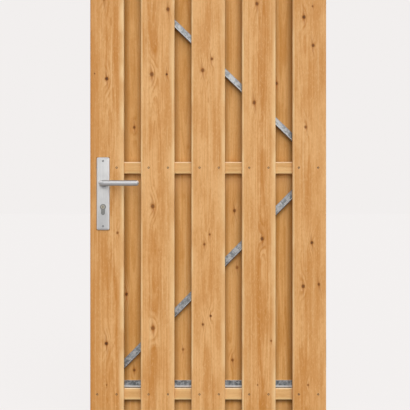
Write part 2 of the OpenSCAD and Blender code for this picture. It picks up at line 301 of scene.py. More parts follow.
# Where in a ring its late wood starts, is full, begins to fade and ends, and the same for a flame.
LATE_WOOD = (0.30, 0.82, 0.88, 1.0)
FLAME_WOOD = (0.50, 0.60, 0.80, 0.98)
HEART = 0.026  # how far the strong figure reaches beside the pith
PITH_ASIDE = 0.12  # how far the pith may lie from the middle, as a share of the width
PITH_DEPTH = 0.030  # how deep it lies below the face
PITH_DEEPER = 0.010  # and how much that may change from board to board
PITH_DRIFT = (0.030, 0.034)  # how far it wanders sideways and in depth
WAVES = (40, 3.0, 1)  # ripples of the rings per metre, across and along the face
RIPPLE = 0.0035  # how far they shift the rings
CRUMBS = (170, 130, 1)  # crumbs of the knots' edges, counted as the ripples are

# Fibres along the grain: how many per metre over, through and with it, their detail and roughness.
FIBRES = {
    "cloud": (22, 20, 5.0, 3.0, 0.6),
    "band": (34, 20, 1.4, 2.0, 0.5),
    "streak": (110, 60, 2.0, 3.0, 0.6),
    "vein": (170, 90, 1.5, 2.0, 0.5),
    "fleck": (75, 60, 14.0, 2.0, 0.5),
    "fibre": (650, 500, 12.0, 2.0, 0.5),
    "speck": (240, 200, 90.0, 2.0, 0.5),
}
# How the broad fibres colour the sawn face, in the order that they are laid: which ones, whether a darker
# board has more of them, where they start and are full, how much they show, and the colour.
BROAD_GRAIN = [
    ("vein", False, 0.58, 0.66, 0.26, AMBER),
    ("vein", False, 0.40, 0.32, 0.28, SAPWOOD),
    ("band", True, 0.54, 0.66, 0.32, AMBER),
    ("streak", True, 0.54, 0.80, 0.34, AMBER),
    ("streak", False, 0.46, 0.24, 0.50, SAPWOOD),
]
# The fine ones are alike on every board: which, where they start and are full, how much, and the colour.
FINE_GRAIN = [
    ("fibre", 0.45, 0.80, 0.14, AMBER),
    ("speck", 0.50, 0.75, 0.24, AMBER),
    ("speck", 0.45, 0.25, 0.24, SAPWOOD),
]

# Knots on each board: distance from its left edge, height above its foot, radius, and how dark.
KNOTS = {
    "front_board_1": [(0.069, 1.402, 0.008, 0.8), (0.068, 0.304, 0.008, 0.8), (0.114, 0.763, 0.005, 0.3),
                      (0.019, 1.423, 0.003, 0.5), (0.058, 1.737, 0.009, 0.7), (0.069, 0.132, 0.003, 0.3)],
    "front_board_2": [(0.113, 1.690, 0.008, 0.5), (0.046, 1.420, 0.009, 0.4), (0.108, 1.420, 0.005, 0.8),
                      (0.050, 0.873, 0.009, 0.4), (0.051, 0.368, 0.009, 0.3)],
    "front_board_3": [(0.047, 1.437, 0.008, 0.4), (0.085, 1.484, 0.006, 0.5), (0.054, 0.715, 0.005, 0.45),
                      (0.076, 0.756, 0.004, 0.5), (0.048, 0.383, 0.005, 0.5), (0.080, 0.418, 0.005, 0.7)],
    "front_board_4": [(0.062, 1.713, 0.008, 0.5), (0.051, 1.303, 0.008, 0.5), (0.084, 0.738, 0.008, 0.6),
                      (0.121, 0.315, 0.004, 0.4), (0.065, 0.132, 0.003, 0.4)],
    "front_board_5": [(0.047, 1.657, 0.008, 0.7), (0.085, 1.540, 0.007, 0.6), (0.083, 1.702, 0.004, 0.3),
                      (0.054, 1.201, 0.006, 0.4), (0.080, 0.722, 0.007, 0.7), (0.044, 0.541, 0.008, 0.6),
                      (0.109, 0.549, 0.006, 0.5), (0.064, 0.132, 0.004, 0.4)],
    "back_board_1": [(0.073, 1.206, 0.006, 0.5), (0.040, 0.502, 0.007, 0.7), (0.073, 0.181, 0.006, 0.6)],
    "back_board_2": [(0.069, 0.268, 0.005, 0.1)],
    "back_board_3": [(0.076, 0.854, 0.007, 0.5), (0.087, 0.614, 0.006, 0.1), (0.068, 0.223, 0.006, 0.4)],
    "back_board_4": [(0.044, 1.391, 0.007, 0.5), (0.094, 0.920, 0.006, 0.5)],
}
KNOT_SHAPE = (1.0, 0.85, 0.0)  # knots are a little taller than wide
BEND_SHAPE = (1.0, 0.32, 0.0)  # and the rings bend three times as far above and below them as beside them
KNOT_PUSH = 1.6  # how many of its radii a knot pushes the rings aside
KNOT_SLANT = 0.10  # how far a knot's flare leans to one side as it rises

# How pale each front board's left and right edges are: sapwood, with a painted highlight along each arris.
SAPWOOD_AND_HIGHLIGHT_EDGES = {
    "front_board_1": (0.0, 1.0), "front_board_2": (0.7, 0.65), "front_board_3": (0.8, 0.65),
    "front_board_4": (0.9, 0.8), "front_board_5": (0.7, 0.0),
}
EDGE_DRIFT = 0.016  # how far that sapwood's border wanders
LOCK_EDGE_AMBER = 0.40  # how much darker the first board's lock edge is
AROUND_PLATE = 0.80  # and how much painted shadow darkens the timber close around the long plate

# The back boards' front faces: how far they turn to ochre, and how much painted shade the front boards cast
# on them.
BEHIND = 0.28
BESIDE = 0.56
# Bands of painted shade and painted light along the back boards beside a lath: the colour that they turn to,
# how much, and the four heights above the lath's underside where they start, are full, begin to fade and
# end. The dark bands are painted shadow under the bottom lath and painted shade above the middle one; the
# pale bands are painted light.
LATH_BANDS = [
    ("lath_bottom", DEEP_SHADOW, 0.75, (-0.027, -0.009, -0.001, 0.001)),
    ("lath_bottom", PALE, 0.25, (-0.110, -0.036, -0.034, -0.024)),
    ("lath_middle", PAINTED_SHADE, 0.30, (0.049, 0.050, 0.050, 0.072)),
    ("lath_middle", PALE, 0.33, (-0.110, -0.030, -0.022, -0.011)),
]
UNDER_BRACES = [("brace_lower", 0.75), ("brace_upper", 0.40)]  # how much painted shadow darkens the timber under each


class Timber(Finish):
    """Flat-sawn softwood for one board or lath. The seed sets how its pith, tone and edges wander."""

    def __init__(self, piece, seed, upright):
        super().__init__("timber_" + piece, specular_ior_level=0.3)
        self.piece = piece
        self.seed = seed
        self.upright = upright
        self.marks = {}
        low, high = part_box(piece)
        self.x, y, self.z = self.axes(self.place)
        self.depth = y - low.y
        self.across = self.x - low.x
        self.along = self.z - low.z
        self.width = high.x - low.x
        if not upright:
            self.across, self.along = self.along, self.across
            self.width = high.z - low.z
        self.face = self.vector(self.across, self.along, 0.0)
        self.wave = self.noise(self.stretch(self.face, *WAVES), detail=3.0) - 0.5
        self.crumble = self.noise(self.stretch(self.face, *CRUMBS), detail=3.0) - 0.5
        self.fibres = {name: self.drawn_out(*sizes) for name, sizes in FIBRES.items()}
        self.dense = self.step(self.fibres["streak"], 0.35, 0.70)

    def drawn_out(self, over, through, with_grain, detail, rough):
        """Noise that is drawn out along the grain."""
        scale = (over, through, with_grain) if self.upright else (with_grain, through, over)
        return self.noise(self.stretch(self.place, *scale), detail=detail, rough=rough)

    def grow(self):
        """Growth rings about a pith that wanders along the piece, bent around its knots."""
        seed = self.seed
        sideways, deeper = PITH_DRIFT
        pith_side = self.width * (0.5 + PITH_ASIDE * math.sin(seed * 2.1))
        pith_depth = PITH_DEPTH + PITH_DEEPER * math.sin(seed * 1.3)
        side = self.across - pith_side - self.wander(self.along * 0.9, seed * 7.3) * sideways
        back = self.depth + pith_depth + self.wander(self.along * 1.3, seed * 3.7 + 40) * deeper
        radius = (side * side + back * back).math("SQRT") + self.wave * RIPPLE
        for across, along, size, dark in KNOTS.get(self.piece, []):
            radius = radius + self.mark_knot(across, along, size, dark) * (size * KNOT_PUSH)
        ring = (radius / RING).math("FRACT")
        flame = (radius / (RING * FLAME) + seed * 0.37).math("FRACT")
        self.late = self.band(ring, *LATE_WOOD)
        self.flame = self.band(flame, *FLAME_WOOD)
        self.heart = self.bell(side, HEART) * 0.80 + 0.20

    def mark_knot(self, across, along, size, dark):
        """Adds a knot's bend, flare, face, core and rim to the marks, and gives how the rings bend there."""
        offset = self.on_vectors("SUBTRACT", self.face, (across, along, 0.0))
        beside, above, _ = self.axes(offset)
        near = self.length(self.stretch(offset, *KNOT_SHAPE)) + self.crumble * size * 0.9
        bend = self.bell(self.length(self.stretch(offset, *BEND_SHAPE)), size * 2.2)
        leaning = beside + self.wave * 0.018 + above * KNOT_SLANT
        flare = self.bell(leaning, size * 0.48) * self.bell(above, size * 4.4)
        marks = {
            "bend": bend * (0.25 + 0.75 * dark),
            "flare": flare * (0.50 + 0.5 * dark),
            "knot": self.step(near, size * 1.10, size * 0.80) * (0.66 + 0.34 * dark),
            "core": self.step(near, size * 1.0, size * 0.40) * (0.35 + 0.65 * dark),
            "rim": self.step(near, size * 2.0, size * 0.9),
        }
        for name, value in marks.items():
            self.marks[name] = value.math("MAXIMUM", self.marks.get(name, 0.0))
        return bend

    def saw(self):
        """The sawn face: pale wood with clouds, flames, late wood in the rings, and fibres."""
        fibres = self.fibres
        heart = self.heart
        tone, strength, fade = CHARACTER[self.piece]
        sway = BOARD_WANDER if self.upright else LATH_WANDER
        tone = self.wander(self.along * 2.2, self.seed * 1.7, 2.0) * sway + tone
        if fade:
            tone = tone - self.bell(self.along - MIDDLE_UP, MIDDLE_REACH) * fade
        self.colour = self.mix(self.step(fibres["cloud"] + tone, 0.32, 0.68), PALE, HONEY)
        flamed = self.flame * heart * self.step(fibres["cloud"], 0.34, 0.52)
        self.tint(flamed * 0.52 * strength, AMBER)
        self.tint(self.late * heart * (0.20 + 0.44 * self.dense) * strength, AMBER)
        for name, toned, start, full, amount, colour in BROAD_GRAIN:
            value = fibres[name] + tone if toned else fibres[name]
            self.tint(self.step(value, start, full) * amount * strength, colour)
        self.tint(self.step(fibres["fleck"], 0.60, 0.76) * heart * 0.60 * strength, AMBER)
        for name, start, full, amount, colour in FINE_GRAIN:
            self.tint(self.step(fibres[name], start, full) * amount, colour)

    def edge_drift(self):
        """How the border of the wood along an edge wanders."""
        return self.wander(self.along * 3.0, self.seed * 5.0) * EDGE_DRIFT

    def pale_edges(self, left, right):
        """Sapwood along a front board's edges, with a painted highlight along each arris."""
        uneven = 0.35 + 0.9 * self.step(self.wander(self.along * 5.0, self.seed * 11.0, 2.0), -0.25, 0.25)
        from_right = self.width - self.across
        pale = (self.step(from_right + self.edge_drift(), 0.024, 0.005) * right * 0.8
                + self.step(from_right, 0.006, 0.003) * right * 0.4
                + self.step(self.across, 0.010, 0.004) * left) * uneven
        self.tint(pale, SAPWOOD)

    def darken_at_lock(self):
        """The first front board's amber lock edge, and a painted shadow line around the long plate."""
        self.tint(self.step(self.across + self.edge_drift(), 0.045, 0.0) * LOCK_EDGE_AMBER, AMBER)
        low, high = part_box("plate_front")
        tall = self.band(self.z, low.z - 0.003, low.z - 0.001, high.z + 0.001, high.z + 0.003)
        wide = self.band(self.x, low.x - 0.005, low.x - 0.001, high.x, high.x + 0.0015)
        self.tint(tall * wide * AROUND_PLATE, PAINTED_SHADE)

    def shade_behind(self):
        """A back board's front face: ochre, with painted shade from the front boards, laths and braces, and
        painted light in bands below the laths.
        """
        front = self.step(self.depth, 0.003, 0.001)
        shaded = self.step(self.across, 0.060, 0.036) + self.step(self.width - self.across, 0.062, 0.034)
        self.tint(front * BEHIND, OCHRE)
        self.tint(shaded * front * BESIDE, PAINTED_SHADE)
        for lath, colour, amount, heights in LATH_BANDS:
            band = self.band(self.z, *(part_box(lath)[0].z + height for height in heights))
            self.tint(band * front * amount, colour)
        for bar, amount in UNDER_BRACES:
            normal, foot, _ = long_side(bar)
            under = self.band(self.reach(normal), foot - 0.020, foot - 0.002, foot, foot + 0.003)
            self.tint(under * front * amount, PAINTED_SHADE)

    def gild_lath(self):
        """A lath's golden face, with more of it low down and a painted highlight along its upper edge."""
        self.tint(0.24 + self.step(self.across, 0.014, 0.005) * 0.28, LATH_GOLD)
        self.tint(self.step(self.width - self.across, 0.006, 0.002) * 0.58, LATH_EDGE_HIGHLIGHT)

    def colour_knots(self):
        marks = self.marks
        self.tint(marks["bend"] * self.late * (0.25 + 0.30 * self.dense), AMBER)
        self.tint(marks["bend"] * (1.0 - self.late) * 0.22, SAPWOOD)
        self.tint(marks["flare"] * 0.85, KNOT_RIM)
        self.tint(marks["rim"] * (0.20 + 0.9 * self.step(self.crumble, -0.05, 0.15)) * 0.50, KNOT_RIM)
        self.tint(marks["knot"], self.mix(marks["core"], KNOT_RIM, KNOT))

    def cut_ends(self):
        """Darker end grain, then the roughness and the raised grain of the whole piece."""
        facing_x, _, facing_z = self.facing()
        end = self.step((facing_z if self.upright else facing_x).math("ABSOLUTE"), 0.7, 0.95)
        self.tint(end * (0.25 + 0.30 * self.late), AMBER)
        fibre = self.fibres["fibre"]
        height = fibre * 0.5 + self.late * self.heart * 0.35 + self.fibres["streak"] * 0.3
        return self.done(roughness=0.56 + 0.22 * fibre, normal=self.relief(height, 0.25, 0.0006))


def timber(piece, seed, upright=True):
    wood = Timber(piece, seed, upright)
    wood.grow()
    wood.saw()
    if piece in SAPWOOD_AND_HIGHLIGHT_EDGES:
        wood.pale_edges(*SAPWOOD_AND_HIGHLIGHT_EDGES[piece])
    if piece == FRONT_BOARDS[0]:
        wood.darken_at_lock()
    if piece in BACK_BOARDS:
        wood.shade_behind()
    if piece in LATHS:
        wood.gild_lath()
    if wood.marks:
        wood.colour_knots()
    return wood.cut_ends()


# ---------------------------------------------------------------- metals

FRAME_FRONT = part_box("frame_stile_lock")[0].y
BRACE_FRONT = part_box("brace_upper")[0].y
ZINC_EDGE = "333537"  # the frame bars' front edges, drawn darker
ZINC_TOP_LIGHT = rgb("F6F7F7")  # painted light on faces that look up
BAR_HEAD = rgb("7C8288")  # the upper rolled edge of a slanting bar
# How many crystals, mottles and clouds zinc has to a metre, and how many smears brushed metal has.
SPANGLE = 95.0
MOTTLE = 85.0
CLOUD = 22.0
SMEAR = 30.0
# Painted light and shade for the plates, levers and cylinders: bevel and lever-end highlights, top-bevel and
# lever-top shade, collar shadow and key-slot shade.
BEVEL_HIGHLIGHT = rgb("F4F5F6")
LEVER_END_HIGHLIGHT = rgb("FAFAFA")
TOP_BEVEL_SHADE = rgb("8C8C8B")
LEVER_TOP_SHADE = rgb("5C5D5E")
COLLAR_SHADOW = rgb("6E7072")
KEYWAY_SHADE = rgb("1C1B1A")

# How close the hairlines of brushed metal lie along x, y and z, per metre.
UPRIGHT_HAIR = (900, 900, 14)
LEVEL_HAIR = (14, 900, 900)
CAST_HAIR = (60, 60, 60)
SCREW_HAIR = (300, 300, 300)


def galvanised(name, light, dark, front, edge=ZINC_EDGE, bar=None, foot_line=None):
    """Hot-dip zinc: mottled crystals, painted light on faces that look up, a darker front edge and a bar's
    rolled edges.
    """
    finish = Finish(name)
    crystals = finish.node("ShaderNodeTexVoronoi", {"feature": "F1"},
                           {"Vector": finish.place, "Scale": SPANGLE}, out="Color")
    crystal, _, _ = finish.axes(crystals)
    mottle = finish.noise(finish.place, MOTTLE, detail=3.0, twist=1.2)
    cloud = finish.noise(finish.place, CLOUD)
    shade = crystal * 0.25 + mottle * 0.60 + cloud * 0.15
    finish.colour = finish.mix(finish.step(shade, 0.34, 0.64), rgb(dark), rgb(light))
    _, y, _ = finish.axes(finish.place)
    _, _, up = finish.facing()
    # Painted light: faces that look up turn paler and less metallic.
    top = finish.step(up, 0.50, 0.66)
    finish.tint(top, ZINC_TOP_LIGHT)
    if bar:
        normal, foot, head = long_side(bar)
        place = finish.reach(normal)
        # Lines along a bar's upper and lower edges; the lower brace's pale foot line is a painted highlight.
        finish.tint(finish.step(head - place, 0.0030, 0.0012) * 0.8, BAR_HEAD)
        finish.tint(finish.step(place - foot, 0.0034, 0.0018) * 0.8, rgb(foot_line))
    finish.tint(finish.step(y, front + 0.0020, front + 0.0010), rgb(edge))
    return finish.done(metallic=0.65 - 0.45 * top, roughness=0.44 + 0.20 * shade,
                       normal=finish.relief(shade, 0.15, 0.0004))


class Brushed(Finish):
    """Brushed metal, whose colour and gloss follow its hairlines and smears."""

    def __init__(self, name, hair, metal):
        super().__init__(name, metallic=metal)
        self.hair = self.noise(self.stretch(self.place, *hair), rough=0.6)
        self.tone = self.hair * 0.65 + self.noise(self.place, SMEAR) * 0.35

    def brush(self, light, dark):
        self.colour = self.mix(self.step(self.tone, 0.20, 0.80), rgb(dark), rgb(light))

    def polish(self, rough):
        """Ends the finish, rougher where the metal is lighter."""
        return self.done(roughness=rough + 0.12 * self.tone, normal=self.relief(self.hair, 0.06, 0.0002))


def satin(name, light, dark, hair, rough, metal, slotted=None):
    """Plain brushed metal. Where slotted names a lock's body, the key slots in it get painted shade inside.
    """
    finish = Brushed(name, hair, metal)
    finish.brush(light, dark)
    if slotted:
        low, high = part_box(slotted)
        half = (high.y - low.y) / 2
        _, y, _ = finish.axes(finish.place)
        from_middle = (y - (low.y + half)).math("ABSOLUTE")
        # Painted shade deep inside the key slots.
        finish.tint(finish.step(from_middle, half - 0.0008, half - 0.0020), KEYWAY_SHADE)
    return finish.polish(rough)


def plate_satin():
    """Upright brushed steel for the long plates: painted shade low down and on the top bevel, painted
    highlights on the side and bottom bevels, and painted shadow on the collars below the spindle.
    """
    finish = Brushed("satin_steel_plate", UPRIGHT_HAIR, 0.75)
    low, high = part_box("plate_front")
    _, y, z = finish.axes(finish.place)
    # Painted shade: the plates darken towards their feet.
    finish.tone = finish.tone + finish.step(z, low.z, (low.z + high.z) / 2) * 0.25 - 0.20
    finish.brush("BBBBBA", "9B9B9B")
    facing_x, _, facing_z = finish.facing()
    sideways = facing_x.math("ABSOLUTE")
    # Painted highlights on the side and bottom bevels, painted shade on the top bevel.
    finish.tint(finish.band(sideways, 0.15, 0.35, 0.65, 0.85) * 0.48, BEVEL_HIGHLIGHT)
    finish.tint(finish.step(facing_z, 0.15, 0.35) * 0.45, TOP_BEVEL_SHADE)
    finish.tint(finish.step(facing_z, -0.15, -0.35) * 0.15, BEVEL_HIGHLIGHT)
    centre = middle("lock_case").y
    face = centre - plate_face("plate_front")
    spindle = middle("spindle").z
    # Painted shadow on the collar below the spindle.
    collar = finish.step((y - centre).math("ABSOLUTE"), face + 0.0004, face + 0.0012)
    below = finish.step(z, spindle + 0.004, spindle - 0.008)
    finish.tint(collar * (0.02 + 0.42 * below), COLLAR_SHADOW)
    return finish.polish(0.38)


def lever_satin():
    """Steel brushed along the levers: a painted dark reflection on top, and painted highlights on the bend
    and the tip.
    """
    finish = Brushed("satin_steel_lever", LEVEL_HAIR, 0.70)
    finish.brush("B3B3B4", "9C9C9D")
    facing_x, _, facing_z = finish.facing()
    # Painted highlights on the bend and the tip, a painted dark reflection along the top.
    ends = finish.step(facing_x.math("ABSOLUTE"), 0.08, 0.45) * finish.step(facing_z, 0.05, 0.35)
    finish.tint(ends * 0.62, LEVER_END_HIGHLIGHT)
    finish.tint(finish.step(facing_z, 0.72, 0.92) * 0.85, LEVER_TOP_SHADE)
    return finish.polish(0.42)


def primed():
    """Grey primed sheet steel, slightly uneven."""
    finish = Finish("primed_sheet", metallic=0.3)
    uneven = finish.noise(finish.place, 60.0, detail=3.0)
    finish.colour = finish.mix(uneven, rgb("6B6E70"), rgb("83868A"))
    return finish.done(roughness=0.45 + 0.2 * uneven, normal=finish.relief(uneven, 0.1, 0.0003))


# Zinc is given by its light and dark tones, its front and its edges, and satin by its light and dark tones,
# its hairlines, its roughness and how metallic it is. The lower brace's and the bottom rail's darker tones
# and the lower brace's dark front edge are painted shade; the pale line along that brace's foot is a painted
# highlight.
METALS = {
    "galvanised": galvanised("galvanised_steel", "B4B7B8", "7C8082", FRAME_FRONT),
    "galvanised_upper": galvanised("galvanised_brace_upper", "A9ABAC", "75797C", BRACE_FRONT, "A6A8AA",
                                   "brace_upper", "9DA0A2"),
    "galvanised_lower": galvanised("galvanised_brace_lower", "A2A4A5", "6C7072", BRACE_FRONT, "4A4D4F",
                                   "brace_lower", "D5D7D8"),
    "galvanised_rail": galvanised("galvanised_rail", "95989A", "55595B", FRAME_FRONT),
    "satin_upright": satin("satin_steel_upright", "B4B4B3", "9C9C9C", UPRIGHT_HAIR, 0.38, 0.75),
    "satin_plate": plate_satin(),
    "satin_lever": lever_satin(),
    "nickel": satin("matt_nickel", "80807D", "686866", CAST_HAIR, 0.44, 0.8),
    "cylinder": satin("cylinder_nickel", "7C7C79", "656563", CAST_HAIR, 0.44, 0.8, "cylinder_body"),
    "plug": satin("pale_brass", "A5A092", "8D8678", CAST_HAIR, 0.40, 0.8, "cylinder_body"),
    "zinc_screws": satin("zinc_screws", "1E1F21", "121314", SCREW_HAIR, 0.50, 0.20),
    "dark_screws": satin("dark_screws", "404146", "2C2D30", SCREW_HAIR, 0.42, 0.7),
    "primed": primed(),
}
# The metal of each node whose name starts so. Where two lines fit a node, the later one is used.
NODE_METALS = {
    "frame_": "galvanised", "hinge_": "galvanised", "frame_rail_bottom": "galvanised_rail",
    "brace_upper": "galvanised_upper", "brace_lower": "galvanised_lower",
    "plate_": "satin_plate", "lock_faceplate": "satin_upright", "lever_": "satin_lever",
    "lock_case": "primed", "latch_bolt": "nickel", "dead_bolt": "nickel", "spindle": "nickel",
    "cylinder_body": "cylinder", "cylinder_plug_": "plug",
}
BOARD_SEED = 1  # the first board's seed
LATH_SEED = 21  # and the first lath's


def dress(node, material):
    """Gives a CAD node its finish."""
    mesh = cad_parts[node].data
    mesh.materials.clear()
    mesh.materials.append(material)


def dress_nodes():
    for seed, board in enumerate(FRONT_BOARDS + BACK_BOARDS, BOARD_SEED):
        dress(board, timber(board, seed))
    for seed, lath in enumerate(LATHS, LATH_SEED):
        dress(lath, timber(lath, seed, upright=False))
    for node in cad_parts:
        for start, metal in NODE_METALS.items():
            if node.startswith(start):
                dress(node, METALS[metal])


# ---------------------------------------------------------------- repeated pieces

ROUND_SIDES = 12  # sides of a board screw's round head
HEX_SIDES = 6
WASHER_SIDES = 32


class Maker(Graph):
    """A geometry tree with named sizes. Each use turns its result into one plain mesh."""

    def __init__(self, name, **sizes):
        super().__init__(bpy.data.node_groups.new(name, "GeometryNodeTree"))
        sockets = self.tree.interface
        sockets.new_socket("Result", in_out="OUTPUT", socket_type="NodeSocketGeometry")
        sockets.new_socket("Places", in_out="INPUT", socket_type="NodeSocketGeometry")
        sockets.new_socket("Finish", in_out="INPUT", socket_type="NodeSocketMaterial")
        kinds = {tuple: "NodeSocketVector", float: "NodeSocketFloat", int: "NodeSocketInt"}
        for key, value in sizes.items():
            socket = sockets.new_socket(key, in_out="INPUT", socket_type=kinds[type(value)])
            socket.default_value = value
        self.places = self.node("NodeGroupInput", out="Places")
        self.size = {key: self.places.out(key) for key in sizes}

    def lift(self, geometry, height):
        """Moves geometry up by a height."""
        return self.node("GeometryNodeSetPosition", None,
                         {"Geometry": geometry, "Offset": self.vector(0.0, 0.0, height)})

    def spread(self, places, piece, rotation, scale=(1.0, 1.0, 1.0)):
        """Sets a copy of a piece on each place."""
        return self.node("GeometryNodeInstanceOnPoints", None,
                         {"Points": places, "Instance": piece, "Rotation": rotation, "Scale": scale})

    def end(self, geometry):
        """Closes the tree with real geometry in the finish that it is given."""
        real = self.node("GeometryNodeRealizeInstances", None, (geometry,))
        shown = self.node("GeometryNodeSetMaterial", None,
                          {"Geometry": real, "Material": self.places.out("Finish")})
        self.node("NodeGroupOutput", None, {"Result": shown})

    def make(self, name, body, slot, material, points, edges=(), **sizes):
        """Runs the tree on points and edges, and adds the result as a piece of a body."""
        mesh = bpy.data.meshes.new(name)
        mesh.from_pydata(points, edges, [])
        piece = new_object(name, mesh)
        modifier = piece.modifiers.new("maker", "NODES")
        modifier.node_group = self.tree
        sockets = {item.name: item.identifier for item in self.tree.interface.items_tree}
        modifier[sockets["Finish"]] = material
        for key, value in sizes.items():
            modifier[sockets[key]] = value
        graph = bpy.context.evaluated_depsgraph_get()
        result = bpy.data.meshes.new_from_object(piece.evaluated_get(graph))
        piece.modifiers.remove(modifier)
        piece.data = result
        result.materials.clear()
        result.materials.append(material)
        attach(piece, body)


def socket_screw_maker():
    """Round screw heads with a recess: a six-pointed star, or a hexagon where Star is small."""
    maker = Maker("socket_screws", Turn=(0.0, 0.0, 0.0), Radius=0.0041, Rise=0.0004, Depth=0.0016,
                  Recess=0.55, Star=0.16, Tips=6.0, Sink=0.0010, Seed=3)
    size = maker.size
    head = maker.node("GeometryNodeMeshCylinder", None,
                      {"Vertices": ROUND_SIDES, "Radius": size["Radius"], "Depth": size["Depth"]})
    rim = maker.node("GeometryNodeExtrudeMesh", {"mode": "FACES"},
                     {"Mesh": head, "Selection": head.out("Top"), "Offset Scale": 0.0})
    mouth = maker.node("GeometryNodeScaleElements", {"domain": "FACE"},
                       {"Geometry": rim, "Selection": rim.out("Top"), "Scale": size["Recess"]})
    place = maker.node("GeometryNodeInputPosition")
    x, y, _ = maker.axes(place)
    swell = (y.math("ARCTAN2", x) * size["Tips"]).math("COSINE") * size["Star"] + 1.0
    shaped = maker.on_vectors("MULTIPLY", place, maker.vector(swell, swell, 1.0))
    star = maker.node("GeometryNodeSetPosition", None,
                      {"Geometry": mouth, "Selection": rim.out("Top"), "Position": shaped})
    sunk = maker.node("GeometryNodeExtrudeMesh", {"mode": "FACES"},
                      {"Mesh": star, "Selection": rim.out("Top"), "Offset Scale": -size["Sink"]})
    heads = maker.spread(maker.places, maker.lift(sunk, size["Rise"] - size["Depth"] * 0.5), size["Turn"])
    spin = maker.node("FunctionNodeRandomValue", {"data_type": "FLOAT"},
                      {"Min": 0.0, "Max": math.tau, "Seed": size["Seed"]}, out=1)
    spun = maker.node("GeometryNodeRotateInstances", None,
                      {"Instances": heads, "Rotation": maker.vector(0.0, 0.0, spin), "Local Space": True})
    maker.end(spun)
    return maker


def coach_screw_maker():
    """Hexagon heads with a chamfered crown on round washers."""
    maker = Maker("coach_screws", Turn=(0.0, 0.0, 0.0), Washer=0.0085, Across=0.0075, Height=0.0045,
                  Thick=0.0012, Crown=0.0006, Taper=0.86)
    size = maker.size
    head = maker.node("GeometryNodeMeshCylinder", None,
                      {"Vertices": HEX_SIDES, "Radius": size["Across"], "Depth": size["Height"]})
    top = maker.node("GeometryNodeExtrudeMesh", {"mode": "FACES"},
                     {"Mesh": head, "Selection": head.out("Top"), "Offset Scale": size["Crown"]})
    crown = maker.node("GeometryNodeScaleElements", {"domain": "FACE"},
                       {"Geometry": top, "Selection": top.out("Top"), "Scale": size["Taper"]})
    washer = maker.node("GeometryNodeMeshCylinder", None,
                        {"Vertices": WASHER_SIDES, "Radius": size["Washer"], "Depth": size["Thick"]})
    raised = maker.lift(crown, size["Height"] * 0.5 + size["Thick"])
    laid = maker.lift(washer, size["Thick"] * 0.5)
    both = maker.node("GeometryNodeJoinGeometry", None, {"Geometry": [raised, laid]})
    maker.end(maker.spread(maker.places, both, size["Turn"]))
    return maker


def weld_maker():
    """Rippled weld beads that follow edges."""
    maker = Maker("weld_beads", Step=0.0022, Width=0.0030, Flat=0.55, High=0.75, Least=0.85, Most=1.12,
                  Seed=7)
    size = maker.size
    line = maker.node("GeometryNodeMeshToCurve", None, (maker.places,))
    spaced = maker.node("GeometryNodeCurveToPoints", {"mode": "LENGTH"},
                        {"Curve": line, "Length": size["Step"]})
    drop = maker.node("GeometryNodeMeshIcoSphere", None, {"Radius": size["Width"], "Subdivisions": 2})
    squat = maker.node("GeometryNodeTransform", None,
                       {"Geometry": drop, "Scale": maker.vector(size["Flat"], 1.0, size["High"])})
    uneven = maker.node("FunctionNodeRandomValue", {"data_type": "FLOAT"},
                        {"Min": size["Least"], "Max": size["Most"], "Seed": size["Seed"]}, out=1)
    direction = maker.node("FunctionNodeAlignRotationToVector", {"axis": "X"},
                           {"Vector": spaced.out("Tangent")})
    maker.end(maker.spread(spaced, squat, direction, uneven))
    return maker


SCREW_FROM_MIDDLE = 0.040  # screws on either side of each board's middle
SCREW_DRIFT = {"front_board_2": 0.003, "front_board_3": 0.004, "front_board_5": -0.004}
FOOT_SCREW_UP = 0.004  # the foot row sits above its lath's middle
PLATE_SCREW_END = 0.0150  # plate screws from the plates' ends
# Turns that make a head face the front, the back or the lock side.
FACE_FRONT = (math.radians(90), 0.0, 0.0)
FACE_BACK = (math.radians(-90), 0.0, 0.0)
FACE_LOCK = (0.0, math.radians(-90), 0.0)


def board_screws(boards, y):
    """Where two screws go through each board into each lath."""
    points = []
    for board in boards:
        for lath in LATHS:
            up = FOOT_SCREW_UP if lath == LATHS[0] else 0.0
            for side in (-SCREW_FROM_MIDDLE, SCREW_FROM_MIDDLE):
                x = middle(board).x + side + SCREW_DRIFT.get(board, 0.0)
                points.append((x, y, middle(lath).z + up))
    return points


def add_screws():
    maker = socket_screw_maker()
    maker.make("front_board_screws", "leaf", "galvanised", METALS["zinc_screws"],
               board_screws(FRONT_BOARDS, FRONT_Y), Turn=FACE_FRONT)
    maker.make("back_board_screws", "leaf", "galvanised", METALS["zinc_screws"],
               board_screws(BACK_BOARDS, BACK_Y), Turn=FACE_BACK, Seed=5)
    for name, turn in (("front", FACE_FRONT), ("back", FACE_BACK)):
        plate = "plate_" + name
        low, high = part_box(plate)
        points = [(middle(plate).x, plate_face(plate), z)
                  for z in (low.z + PLATE_SCREW_END, high.z - PLATE_SCREW_END)]
        maker.make("plate_screws_" + name, "leaf", "satin_steel", METALS["dark_screws"], points,
                   Turn=turn, Radius=0.0042, Rise=0.0003, Star=0.07, Recess=0.5)


BRACKET_SCREWS = (0.040, 0.090)  # spacing across and up each bracket
BRACKET_THICK = 0.005
BRACKET_WIDE = 0.070


def add_coach_screws():
    """Two screws on either side of each bracket's arm, with their heads towards the leaf."""
    maker = coach_screw_maker()
    wide, tall = BRACKET_SCREWS
    for name in ("bottom", "top"):
        low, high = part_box("hinge_bracket_" + name)
        centre_y = high.y - BRACKET_WIDE / 2
        centre_z = low.z + (high.z - low.z) / 2
        points = [(high.x - BRACKET_THICK, centre_y + side * wide / 2, centre_z + up * tall / 2)
                  for side in (-1, 1) for up in (-1, 1)]
        maker.make("coach_screws_" + name, "post_side", "galvanised", METALS["zinc_screws"], points,
                   Turn=FACE_LOCK)


